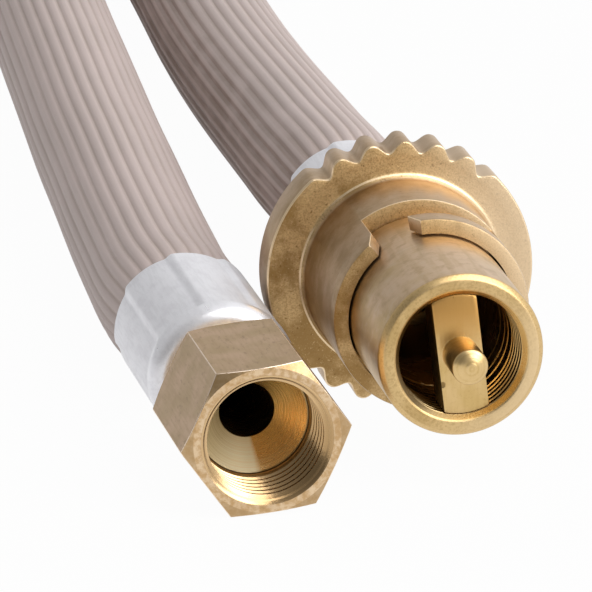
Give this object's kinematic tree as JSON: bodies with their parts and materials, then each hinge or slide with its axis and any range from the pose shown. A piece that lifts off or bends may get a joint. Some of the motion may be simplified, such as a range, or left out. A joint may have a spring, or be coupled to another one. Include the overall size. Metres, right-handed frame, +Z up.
{
  "type": "caravan gas hose",
  "caption": "Ribbed gas hose with a bayonet plug on one end, its slotted collar swivelling on the nozzle, and a swivel flare nut on the other, each crimped on in a ferrule.",
  "frame": {"origin": "on the bayonet nozzle's axis, level with the front of the slotted ring", "axes": "-Y out of the nozzle's mouth, +Z up from the surface that the hose lies on"},
  "size_m": [0.197, 0.5697, 0.0416],
  "materials": {
    "nozzle_brass": "satin turned brass",
    "bridge_brass": "bright turned brass",
    "collar_brass": "sand-cast brass, fine grain",
    "tail_brass": "turned brass",
    "nut_brass": "drawn brass, dulled flats",
    "ferrule_alloy": "matte crimped alloy",
    "clip_steel": "phosphated spring steel",
    "washer_plastic": "natural low-friction plastic",
    "gasket_rubber": "black rubber",
    "hose_cover": "matte ribbed cover",
    "liner_rubber": "black rubber",
    "braid_yarn": "polyester yarn braid",
    "tie_strap": "woven hook-and-loop strap"
  },
  "bodies": {
    "hose_assembly": {"nozzle": "nozzle_brass", "bridge": "bridge_brass", "actuator_pin": "bridge_brass", "thrust_washer": "washer_plastic", "tail_gasket": "gasket_rubber", "bayonet_tail": "tail_brass", "bayonet_ferrule": "ferrule_alloy", "flare_tail": "tail_brass", "flare_ferrule": "ferrule_alloy", "flare_hose_run": "hose_cover", "hose_loop": "hose_cover", "bayonet_hose_run": "hose_cover", "hose_braid": "braid_yarn", "hose_liner": "liner_rubber", "hose_tie": "tie_strap"},
    "collar": {"bayonet_collar": "collar_brass", "collar_circlip": "clip_steel"},
    "nut": {"flare_nut": "nut_brass"}
  },
  "joints": [
    {"name": "collar_spin", "type": "hinge", "parent": "hose_assembly", "child": "collar", "pos_m": [0, 0.015, 0], "axis": [0, -1, 0], "continuous": true},
    {"name": "nut_spin", "type": "hinge", "parent": "hose_assembly", "child": "nut", "pos_m": [-0.03044, -0.0155, -0.00913], "axis": [0.0218, -0.9998, 0], "continuous": true}
  ]
}
